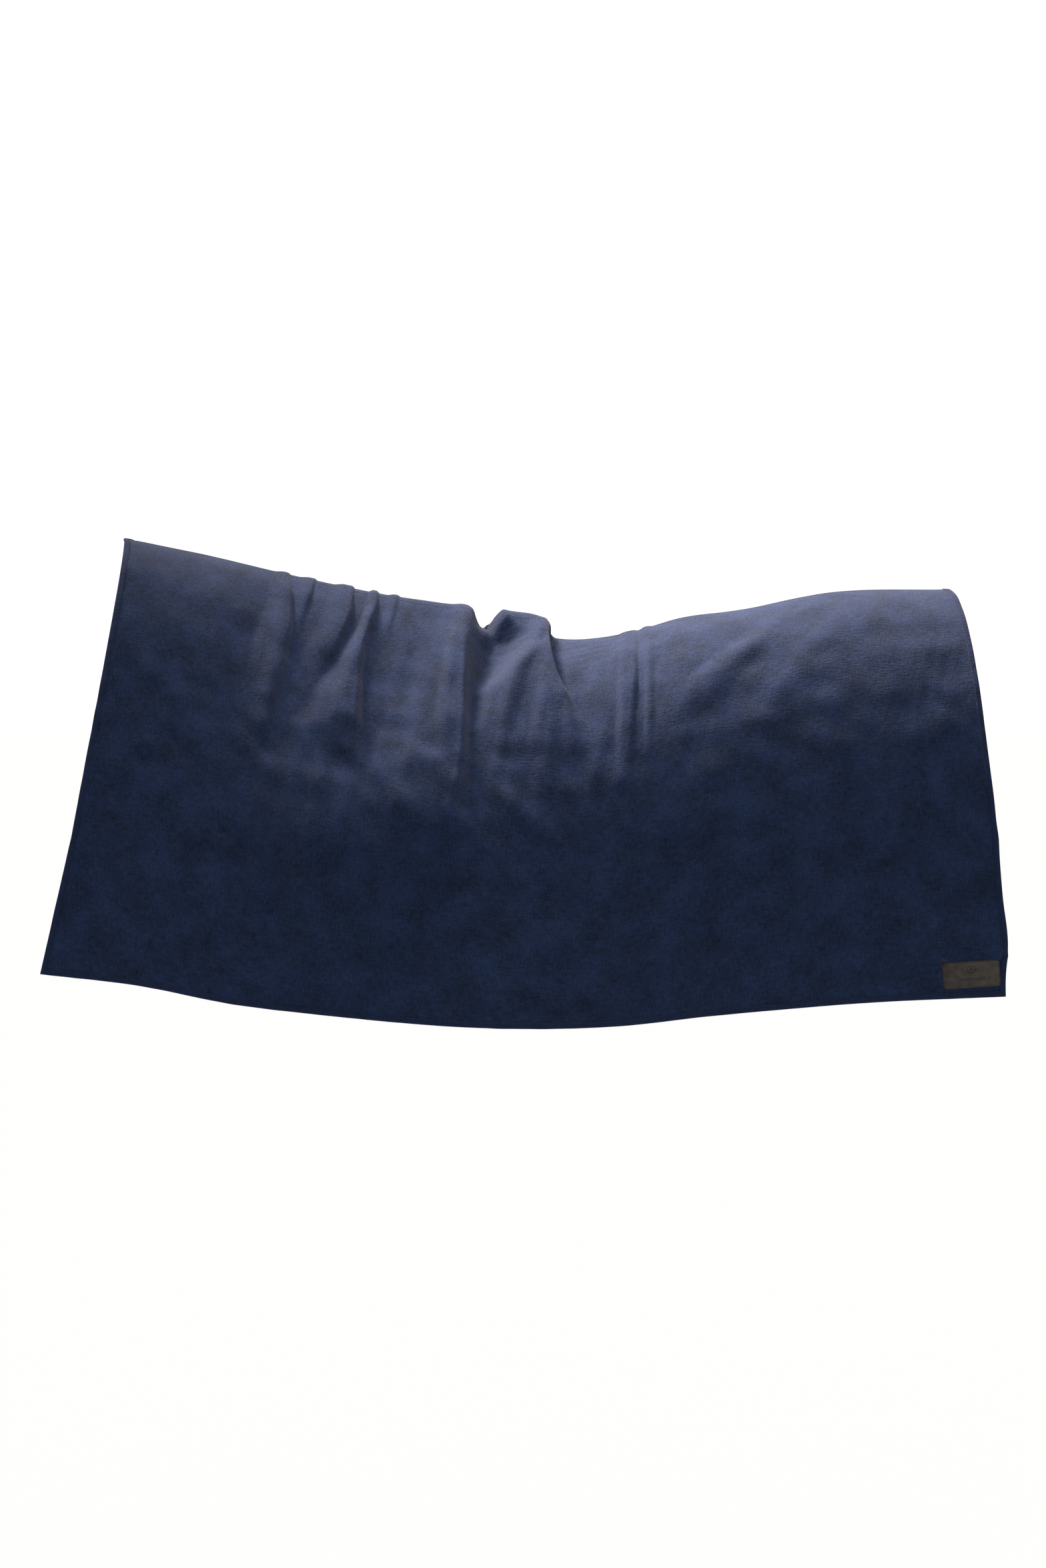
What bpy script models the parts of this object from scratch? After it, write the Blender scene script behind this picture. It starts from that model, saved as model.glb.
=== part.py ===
"""A draped horse rug: a square sheet of lined cloth that lies over a horse's back and hangs down both sides.

Each side is cut in two at the fold line along the horse's flank, where a groom turns the rug up.
Above it is the back, which the horse carries. Below it is the skirt, which swings up about the fold line.
The cloth has two layers, an outer shell and a lining. A tape binds its four edges, a webbing covers the
seam along the spine, and a leather label is sewn on near the rear corner of the near side.

Metres. +X runs to the tail, -Y is the near (left) side, and +Z is up. The origin is on the horse's back,
halfway along the rug and just under the webbing.
"""

import math

import bpy
import numpy as np
from mathutils import Matrix, Vector

# The cloth, as it is cut
RUG_LENGTH = 1.610  # along the horse
SPINE_GATHER = 0.161  # how much of that length the folds at the spine take up
FOLD_LINE_SLACK = 0.076  # and how much the slack at the fold line takes up
HEM_SLACK = 0.012  # and at the hem

# The drape
SPINE_SHIFT = 0.0235  # how far the middle of the spine line lies behind the origin
FOLD_LINE_SHIFT = 0.020
HALF_BACK = 0.290  # from the spine out to the fold line
FOLD_DROP = 0.335  # from the origin down to the fold line
SKIRT_DROP = 0.317  # from the fold line down to the lowest point of the hem
SKIRT_FLARE = math.radians(4.5)  # how far the skirt leans out
SKIRT_WAVE = 0.006  # height of the slack waves along the hem
TOPLINE = (  # share of the spine line, height: withers, dip and croup
    (0.00, 0.158),
    (0.10, 0.129),
    (0.20, 0.095),
    (0.32, 0.059),
    (0.40, 0.041),
    (0.54, -0.019),
    (0.62, -0.005),
    (0.68, 0.020),
    (0.74, 0.031),
    (0.86, 0.064),
    (1.00, 0.069),
)
HEM_RISE = (  # share of the hem, how far it lies above its lowest point
    (0.00, 0.090),
    (0.10, 0.072),
    (0.20, 0.040),
    (0.29, 0.022),
    (0.51, 0.000),
    (0.60, 0.004),
    (0.70, 0.021),
    (0.86, 0.043),
    (1.00, 0.053),
)
SPINE_SPACING = ((0.00, 0.00), (0.16, 0.173), (0.687, 0.662), (1.00, 1.00))  # share of the cloth, of the spine
BACK_ROUNDNESS = (  # broad withers, a sharp back, a round croup
    (0.00, 0.52),
    (0.10, 0.46),
    (0.22, 0.24),
    (0.30, 0.16),
    (0.40, 0.12),
    (0.52, 0.30),
    (0.66, 0.46),
    (1.00, 0.46),
)
FALL_STRENGTH = (  # how long the cloth keeps its fall above the fold line
    (0.00, 0.80),
    (0.10, 0.70),
    (0.22, 0.48),
    (0.42, 0.32),
    (0.55, 0.44),
    (0.66, 0.52),
    (1.00, 0.58),
)
SPINE_SLANT = ((0.00, 0.11), (0.15, 0.00), (0.85, 0.00), (1.00, 0.04))  # how the cloth leaves the spine rearward
FALL_SLANT = ((0.00, 3.2), (0.25, 2.0), (1.00, 2.0))  # and how late it makes up for that
# Gathers that run down from the spine: share of the spine where one starts and ends, half width, height,
# and the share of the way down to the fold line at which it has died out
GATHERS = (
    (0.193, 0.165, 0.024, 0.008, 0.62),
    (0.290, 0.235, 0.026, 0.008, 0.66),
    (0.415, 0.390, 0.024, 0.008, 0.80),
    (0.438, 0.412, 0.016, -0.022, 0.60),
    (0.484, 0.500, 0.036, 0.026, 0.58),
)

# The layers
SHELL_THICKNESS = 0.0018
LINING_THICKNESS = 0.0018
CLEARANCE = 0.0003  # between pieces that are sewn or laid together
SEAM_GAP = 0.0026  # between the two sides, at the seam along the spine
BINDING_WIDTH = 0.009
BINDING_THICKNESS = 0.0008
WEBBING_HALF_WIDTH = 0.020
WEBBING_THICKNESS = 0.0010
WEBBING_END_GAP = 0.004  # between the webbing and the binding at each end

# The label
LABEL_WIDTH = 0.098
LABEL_HEIGHT = 0.050
LABEL_THICKNESS = 0.0016
LABEL_CORNER = 0.004
LABEL_INSET = 0.0006  # from the binding
THREAD_RADIUS = 0.0004
THREAD_INSET = 0.003  # from the label's edge

# How finely the cloth is divided
GATHERED_COLUMNS = 27
FRONT_COLUMNS = 5
REAR_COLUMNS = 7
BACK_ROWS = 7
SKIRT_ROWS = 3
HALF_CUT = 0.0003  # between the fold line and the cloth on each side of it

CORE = CLEARANCE / 2  # from the middle of the cloth to either layer
SPINE_SPAN = RUG_LENGTH - SPINE_GATHER
FOLD_LINE_SPAN = RUG_LENGTH - FOLD_LINE_SLACK
HEM_SPAN = RUG_LENGTH - HEM_SLACK
SHELL_FACE = CORE + SHELL_THICKNESS
LINING_FACE = CORE + LINING_THICKNESS
NEAR, OFF = -1, 1


def smooth(t):
    """0 up to 0 and 1 from 1 on, with a smooth step between."""
    t = np.clip(t, 0, 1)
    return t * t * (3 - 2 * t)


def through(points, at):
    """A smooth curve through (place, value) points, read at the places given: cubic pieces whose slope at
    each point is that of the line between its neighbours."""
    place, value = np.array(points, float).T
    slope = np.gradient(value, place)
    i = np.clip(np.searchsorted(place, at, side="right") - 1, 0, len(place) - 2)
    step = place[i + 1] - place[i]
    t = (at - place[i]) / step
    start = (1 + 2 * t) * (1 - t) ** 2 * value[i] + t * (1 - t) ** 2 * step * slope[i]
    return start + t * t * (3 - 2 * t) * value[i + 1] + t * t * (t - 1) * step * slope[i + 1]


def unit(vectors):
    return vectors / np.linalg.norm(vectors, axis=-1, keepdims=True)


def columns():
    """Shares of the cloth's length at which the grid has a column: a narrow one under the binding at each
    end, and close ones where the cloth is gathered."""
    edge = (BINDING_WIDTH + WEBBING_END_GAP) / RUG_LENGTH
    gathered = SPINE_SPACING[1][0], SPINE_SPACING[2][0]
    return np.concatenate(
        [
            [0],
            np.linspace(edge, gathered[0], FRONT_COLUMNS)[:-1],
            np.linspace(*gathered, GATHERED_COLUMNS)[:-1],
            np.linspace(gathered[1], 1 - edge, REAR_COLUMNS),
            [1],
        ]
    )


def spine_line(share):
    """The spine line, before the gathers."""
    along = through(SPINE_SPACING, share)
    x = SPINE_SHIFT + (along - 0.5) * SPINE_SPAN
    return np.stack([x, 0 * x, through(TOPLINE, along)], axis=-1)


def fold_line(side, share):
    x = FOLD_LINE_SHIFT + (share - 0.5) * FOLD_LINE_SPAN
    return np.stack([x, 0 * x + side * HALF_BACK, 0 * x - FOLD_DROP], axis=-1)


def hem_line(side, share):
    """The hem, in the plane of the skirt."""
    x = (share - 0.5) * HEM_SPAN
    drop = SKIRT_DROP - through(HEM_RISE, share)
    y = side * (HALF_BACK + drop * math.tan(SKIRT_FLARE))
    return np.stack([x, y, -FOLD_DROP - drop], axis=-1)


def grid_normals(grid, side):
    """The cloth's outward normal at each point of a grid."""
    return side * unit(np.cross(np.gradient(grid, axis=0), np.gradient(grid, axis=1)))


def gathers(share, down):
    """How far the cloth stands out at a share of the spine and a share of the way down to the fold line."""
    along = through(SPINE_SPACING, share)
    height = 0 * along * down
    for start, end, half_width, most, died_out in GATHERS:
        centre = start + (end - start) * down / died_out
        across = np.abs(along - centre) * SPINE_SPAN / half_width
        height = height + most * smooth(1 - across / 2) * smooth(1 - down / died_out)
    return height


def back_curves(side, share, down):
    """From the spine to the fold line, a cubic that leaves the spine level and reaches the fold line in the
    plane of the skirt."""
    top, bottom, hem = (line[:, 0, None] for line in (spine_line(share), fold_line(side, share), hem_line(side, share)))
    level = np.array([0, side, 0]) * through(BACK_ROUNDNESS, share)[..., None]
    level[..., 0] = through(SPINE_SLANT, share)
    fall = unit(hem - bottom) * through(FALL_STRENGTH, share)[..., None]
    fall[..., 0] = through(FALL_SLANT, share) * (bottom - top)[..., 0]
    t = down[..., None]
    grid = (1 + 2 * t) * (1 - t) ** 2 * top + t * (1 - t) ** 2 * level
    return grid + t * t * (3 - 2 * t) * bottom + t * t * (t - 1) * fall


def webbing_edge(side, share):
    """How far down the back the edge of the webbing lies, at each share of the length."""
    down = np.linspace(0, 0.5, 101)[None]
    steps = np.linalg.norm(np.diff(back_curves(side, share, down), axis=1), axis=-1)
    return np.array([[np.interp(WEBBING_HALF_WIDTH, np.cumsum(run), down[0, 1:])] for run in steps])


def back_grid(side):
    """The middle of the cloth from the spine to the fold line, with the gathers standing out from it."""
    share = columns()[:, None]
    edge = webbing_edge(side, share)
    down = np.concatenate([0 * edge, edge + (1 - edge) * np.linspace(0, 1, BACK_ROWS)], axis=1)
    grid = back_curves(side, share, down)
    normal = grid_normals(grid, side)
    normal[:, 0, 1] = 0
    grid = grid + unit(normal) * gathers(share, down)[..., None]
    grid[:, -1] -= unit(hem_line(side, share) - fold_line(side, share))[:, 0] * HALF_CUT
    grid[..., 1] += side * SEAM_GAP / 2
    return grid


def skirt_grid(side):
    """The middle of the cloth from the fold line to the hem: flat, with slack waves that die out at the
    fold line and before the rear corner, where the label is."""
    share = columns()[:, None]
    down = np.linspace(0, 1, SKIRT_ROWS + 1)
    top, hem = (line[:, 0, None] for line in (fold_line(side, share), hem_line(side, share)))
    fall = unit(hem - top)
    top = top + fall * HALF_CUT
    grid = top + down[None, :, None] * (hem - top)
    wave = np.sin(5 * math.pi * share) * smooth((0.85 - share) / 0.2) * smooth(down)
    out = np.array([0, side * math.cos(SKIRT_FLARE), math.sin(SKIRT_FLARE)])
    grid = grid + out * (SKIRT_WAVE * wave)[..., None]
    grid[..., 1] += side * SEAM_GAP / 2
    return grid


def material(name, colour, roughness):
    made = bpy.data.materials.new(name)
    made.use_nodes = True
    shader = made.node_tree.nodes["Principled BSDF"]
    shader.inputs["Base Color"].default_value = (*colour, 1)
    shader.inputs["Roughness"].default_value = roughness
    shader.inputs["Metallic"].default_value = 0
    return made


def add_object(name, data, look, collection):
    data.materials.append(look)
    made = bpy.data.objects.new(name, data)
    collection.objects.link(made)
    return made


def grid_mesh(name, grid, side):
    """An open surface through a grid of points, facing outwards."""
    rows = grid.shape[1]
    i, j = np.meshgrid(np.arange(grid.shape[0] - 1), np.arange(rows - 1), indexing="ij")
    corner = (i * rows + j).ravel()
    faces = np.stack([corner, corner + 1, corner + rows + 1, corner + rows], axis=-1)
    mesh = bpy.data.meshes.new(name)
    mesh.from_pydata(grid.reshape(-1, 3).tolist(), [], faces[:, ::-side].tolist())
    return mesh


def sheet(name, grid, side, offset, thickness, look, collection):
    """A layer of cloth that starts at an offset from the middle surface, and is given its thickness on
    the side away from it."""
    moved = grid + grid_normals(grid, side) * offset
    made = add_object(name, grid_mesh(name, moved, side), look, collection)
    wall = made.modifiers.new("Thickness", "SOLIDIFY")
    wall.thickness = thickness
    wall.offset = math.copysign(1, offset)
    return made


def binding(name, path, outward, normal, look, collection):
    """A tape folded over an edge of the cloth: a U section carried along the edge.
    outward points away from the cloth in its own surface, and normal out of its outer face."""
    inner_out, inner_in = SHELL_FACE + CLEARANCE, LINING_FACE + CLEARANCE
    web = CLEARANCE
    section = (
        (-BINDING_WIDTH, inner_out + BINDING_THICKNESS),
        (web + BINDING_THICKNESS, inner_out + BINDING_THICKNESS),
        (web + BINDING_THICKNESS, -inner_in - BINDING_THICKNESS),
        (-BINDING_WIDTH, -inner_in - BINDING_THICKNESS),
        (-BINDING_WIDTH, -inner_in),
        (web, -inner_in),
        (web, inner_out),
        (-BINDING_WIDTH, inner_out),
    )
    rings = np.stack([path + outward * b + normal * n for b, n in section], axis=1)
    corners = len(section)
    faces = [tuple(range(corners))[::-1], tuple(range(len(path) * corners - corners, len(path) * corners))]
    for ring in range(len(path) - 1):
        for k in range(corners):
            after = (k + 1) % corners
            low, high = ring * corners, (ring + 1) * corners
            faces.append((low + k, low + after, high + after, high + k))
    mesh = bpy.data.meshes.new(name)
    mesh.from_pydata(rings.reshape(-1, 3).tolist(), [], faces)
    if signed_volume(mesh) < 0:
        mesh.flip_normals()
    return add_object(name, mesh, look, collection)


def signed_volume(mesh):
    """Six times the volume that a closed mesh holds, negative if its faces point inwards."""
    mesh.calc_loop_triangles()
    points = [v.co for v in mesh.vertices]
    return sum(points[a].dot(points[b].cross(points[c])) for a, b, c in (t.vertices for t in mesh.loop_triangles))


def end_binding(name, end, near, off, look, collection):
    """The tape over the front (end 0) or rear (end -1) edge of the back, from fold line to fold line."""
    inner = 1 if end == 0 else -2
    halves = []
    for grid, side in ((near, NEAR), (off, OFF)):
        normal = grid_normals(grid, side)[end]
        outward = unit(grid[end] - grid[inner])
        halves.append((grid[end], outward, normal))
    (near_path, near_out, near_normal), (off_path, off_out, off_normal) = halves
    path = np.concatenate([near_path[:0:-1], [(near_path[0] + off_path[0]) / 2], off_path[1:]])
    outward = np.concatenate([near_out[:0:-1], [near_out[0]], off_out[1:]])
    crown = unit(near_normal[0] + off_normal[0])
    normal = np.concatenate([near_normal[:0:-1], [crown], off_normal[1:]])
    return binding(name, path, outward, normal, look, collection)


def skirt_binding(name, grid, side, look, collection):
    """The tape round the three free edges of a skirt: down the front, along the hem and up the rear."""
    normal = grid_normals(grid, side)
    edge = np.concatenate([grid[0, :-1], grid[:, -1], grid[-1, -2::-1]])
    normal = np.concatenate([normal[0, :-1], normal[:, -1], normal[-1, -2::-1]])
    forward = unit(grid[0] - grid[1])
    down = unit(grid[:, -1] - grid[:, -2])
    rearward = unit(grid[-1] - grid[-2])
    outward = np.concatenate([forward[:-1], down, rearward[-2::-1]])
    rows, count = grid.shape[1], grid.shape[0]
    outward[rows - 1] = forward[-1] + down[0]
    outward[rows + count - 2] = rearward[-1] + down[-1]
    return binding(name, edge, outward, normal, look, collection)


def spine_webbing(near, off, look, collection):
    """The webbing under the seam of the spine, between the bindings at its two ends."""
    near_normal, off_normal = grid_normals(near, NEAR), grid_normals(off, OFF)
    rows = np.stack([near[1:-1, 1], (near[1:-1, 0] + off[1:-1, 0]) / 2, off[1:-1, 1]], axis=1)
    crown = unit(near_normal[1:-1, 0] + off_normal[1:-1, 0])
    normal = np.stack([near_normal[1:-1, 1], crown, off_normal[1:-1, 1]], axis=1)
    moved = rows - normal * (LINING_FACE + CLEARANCE)
    made = add_object("spine_webbing", grid_mesh("spine_webbing", moved, OFF), look, collection)
    wall = made.modifiers.new("Thickness", "SOLIDIFY")
    wall.thickness = WEBBING_THICKNESS
    wall.offset = -1
    return made


def rounded_rectangle(width, height, radius, steps=6):
    """Points round a rectangle with round corners, anticlockwise about its centre."""
    points = []
    for quarter, (x, y) in enumerate(((1, 1), (-1, 1), (-1, -1), (1, -1))):
        centre = Vector((x * (width / 2 - radius), y * (height / 2 - radius), 0))
        for step in range(steps + 1):
            angle = math.radians(90) * (quarter + step / steps)
            points.append(centre + radius * Vector((math.cos(angle), math.sin(angle), 0)))
    return points


def closed_curve(name, points, dimensions):
    curve = bpy.data.curves.new(name, "CURVE")
    curve.dimensions = dimensions
    spline = curve.splines.new("POLY")
    spline.points.add(len(points) - 1)
    for place, point in zip(spline.points, points):
        place.co = (*point, 1)
    spline.use_cyclic_u = True
    return curve


def label_place(height):
    """Where the label's centre lies, at a height over the middle of the cloth, and how it is turned.
    Its long edge follows the hem."""
    share = np.array([1 - (LABEL_INSET + BINDING_WIDTH + LABEL_WIDTH) / RUG_LENGTH, 1.0])
    start, corner = hem_line(NEAR, share)
    top = fold_line(NEAR, share)[1]
    along = unit(corner - start)
    out = np.array([0, NEAR * math.cos(SKIRT_FLARE), math.sin(SKIRT_FLARE)])
    up = np.cross(out, along)
    rear_edge = unit(top - corner)
    inset = BINDING_WIDTH + LABEL_INSET
    middle_up = inset + LABEL_HEIGHT / 2
    on_edge = corner + rear_edge * middle_up / float(rear_edge @ up)
    centre = on_edge - along * (inset + LABEL_WIDTH / 2) + out * height
    centre = centre + np.array([0, NEAR * SEAM_GAP / 2, 0])
    turn = Matrix((along, up, out)).transposed().to_4x4()
    return Matrix.Translation(Vector(centre)) @ turn


def label(look, thread_look, collection):
    """The leather patch, flat on the shell, and the ring of thread that sews it on."""
    outline = rounded_rectangle(LABEL_WIDTH, LABEL_HEIGHT, LABEL_CORNER)
    plate = closed_curve("label_patch", outline, "2D")
    plate.fill_mode = "BOTH"
    plate.extrude = LABEL_THICKNESS / 2
    patch = add_object("label_patch", plate, look, collection)
    back = SHELL_FACE + CLEARANCE
    patch.matrix_world = label_place(back + LABEL_THICKNESS / 2)
    line = rounded_rectangle(
        LABEL_WIDTH - 2 * THREAD_INSET,
        LABEL_HEIGHT - 2 * THREAD_INSET,
        max(LABEL_CORNER - THREAD_INSET, 2 * THREAD_RADIUS),
    )
    ring = closed_curve("label_thread", line, "3D")
    ring.bevel_depth = THREAD_RADIUS
    ring.bevel_resolution = 2
    thread = add_object("label_thread", ring, thread_look, collection)
    thread.matrix_world = label_place(back + LABEL_THICKNESS + CLEARANCE + THREAD_RADIUS)


def main():
    for old in list(bpy.data.objects):
        bpy.data.objects.remove(old)
    rug = bpy.data.collections.new("draped_rug")
    bpy.context.scene.collection.children.link(rug)
    shell_cloth = material("shell_cloth", (0.010, 0.018, 0.042), 0.95)
    lining_cloth = material("lining_cloth", (0.012, 0.017, 0.033), 0.95)
    tape = material("binding_tape", (0.008, 0.014, 0.032), 0.85)
    webbing = material("spine_webbing", (0.010, 0.013, 0.024), 0.80)
    leather = material("label_leather", (0.036, 0.033, 0.030), 0.50)
    thread = material("label_thread", (0.045, 0.038, 0.034), 0.60)

    back = {}
    for side, word in ((NEAR, "near"), (OFF, "off")):
        back[side] = back_grid(side)
        skirt = skirt_grid(side)
        for part, grid in (("back", back[side]), ("skirt", skirt)):
            sheet(f"{word}_{part}_shell", grid, side, CORE, SHELL_THICKNESS, shell_cloth, rug)
            sheet(f"{word}_{part}_lining", grid, side, -CORE, LINING_THICKNESS, lining_cloth, rug)
        skirt_binding(f"{word}_skirt_binding", skirt, side, tape, rug)
    end_binding("front_binding", 0, back[NEAR], back[OFF], tape, rug)
    end_binding("rear_binding", -1, back[NEAR], back[OFF], tape, rug)
    spine_webbing(back[NEAR], back[OFF], webbing, rug)
    label(leather, thread, rug)


main()
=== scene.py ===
"""A navy horse rug of lined, brushed cloth, draped as over a horse's back: its looks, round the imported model.

Metres. +X runs to the tail, -Y is the near side, and +Z is up. A place on the cloth is given by its share of
the cloth's length, from the front edge to the rear, and by how far down it is from the spine: 0 at the spine,
1 at the fold line, 2 at the hem.
"""

import math

import bpy
import numpy as np
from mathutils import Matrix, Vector


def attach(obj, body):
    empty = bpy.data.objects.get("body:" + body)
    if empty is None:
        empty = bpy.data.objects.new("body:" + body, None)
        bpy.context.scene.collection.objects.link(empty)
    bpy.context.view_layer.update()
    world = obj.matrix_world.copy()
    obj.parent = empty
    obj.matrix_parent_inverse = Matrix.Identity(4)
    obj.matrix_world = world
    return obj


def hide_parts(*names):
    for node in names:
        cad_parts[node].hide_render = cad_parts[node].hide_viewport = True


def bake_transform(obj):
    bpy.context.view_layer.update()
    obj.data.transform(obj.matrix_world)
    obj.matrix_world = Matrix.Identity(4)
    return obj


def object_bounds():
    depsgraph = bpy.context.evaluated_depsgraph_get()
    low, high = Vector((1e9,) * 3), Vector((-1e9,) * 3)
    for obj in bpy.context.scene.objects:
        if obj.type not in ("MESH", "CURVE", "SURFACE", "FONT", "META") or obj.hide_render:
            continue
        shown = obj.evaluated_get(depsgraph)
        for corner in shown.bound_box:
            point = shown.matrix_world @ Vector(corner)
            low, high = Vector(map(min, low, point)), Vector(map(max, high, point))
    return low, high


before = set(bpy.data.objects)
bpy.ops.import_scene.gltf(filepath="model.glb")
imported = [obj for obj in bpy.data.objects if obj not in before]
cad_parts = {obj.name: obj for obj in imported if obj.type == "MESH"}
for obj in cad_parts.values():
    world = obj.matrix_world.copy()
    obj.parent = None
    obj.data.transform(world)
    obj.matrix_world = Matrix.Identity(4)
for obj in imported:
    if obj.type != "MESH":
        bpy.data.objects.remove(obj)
CAD_BOX = [list(corner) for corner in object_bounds()]

bl_info = {
    "name": "Draped horse rug",
    "version": (1, 0, 0),
    "blender": (4, 5, 0),
    "location": "3D View > Sidebar > Rug",
    "description": "Builds a draped horse rug, piece by piece, round its packed model",
    "category": "Add Mesh",
}

NEAR, OFF = -1, 1
WORD = {NEAR: "near", OFF: "off"}

STEEPEST = 0.7  # least width of a slope, as a share of its fold's height
FLOOR_DROP = 3.5  # from the hem to the studio floor, so far that the rug throws no shadow on it
FLOOR_REACH = 60.0

# The drape of part.py, in the same words
TOPLINE = (  # share of the spine line, height: withers, dip and croup
    (0.00, 0.158),
    (0.10, 0.129),
    (0.20, 0.095),
    (0.32, 0.059),
    (0.40, 0.041),
    (0.54, -0.019),
    (0.62, -0.005),
    (0.68, 0.020),
    (0.74, 0.031),
    (0.86, 0.064),
    (1.00, 0.069),
)
HEM_RISE = (  # share of the hem, how far it lies above its lowest point
    (0.00, 0.090),
    (0.10, 0.072),
    (0.20, 0.040),
    (0.29, 0.022),
    (0.51, 0.000),
    (0.60, 0.004),
    (0.70, 0.021),
    (0.86, 0.043),
    (1.00, 0.053),
)
SPINE_SPACING = (  # share of the cloth, share of the spine line
    (0.00, 0.000),
    (0.16, 0.173),
    (0.687, 0.662),
    (1.00, 1.000),
)
BACK_ROUNDNESS = (  # broad withers, a sharp back, a round croup
    (0.00, 0.52),
    (0.10, 0.46),
    (0.22, 0.24),
    (0.30, 0.16),
    (0.40, 0.12),
    (0.52, 0.30),
    (0.66, 0.46),
    (1.00, 0.46),
)
FALL_STRENGTH = (  # how long the cloth keeps its fall above the fold line
    (0.00, 0.80),
    (0.10, 0.70),
    (0.22, 0.48),
    (0.42, 0.32),
    (0.55, 0.44),
    (0.66, 0.52),
    (1.00, 0.58),
)
SPINE_SLANT = (  # how the cloth leaves the spine rearward
    (0.00, 0.11),
    (0.15, 0.00),
    (0.85, 0.00),
    (1.00, 0.04),
)
FALL_SLANT = (  # and how late it makes up for that
    (0.00, 3.2),
    (0.25, 2.0),
    (1.00, 2.0),
)
SPINE_SHIFT = 0.0235  # how far the middle of the spine line lies behind the origin
FOLD_LINE_SHIFT = 0.020

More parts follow.
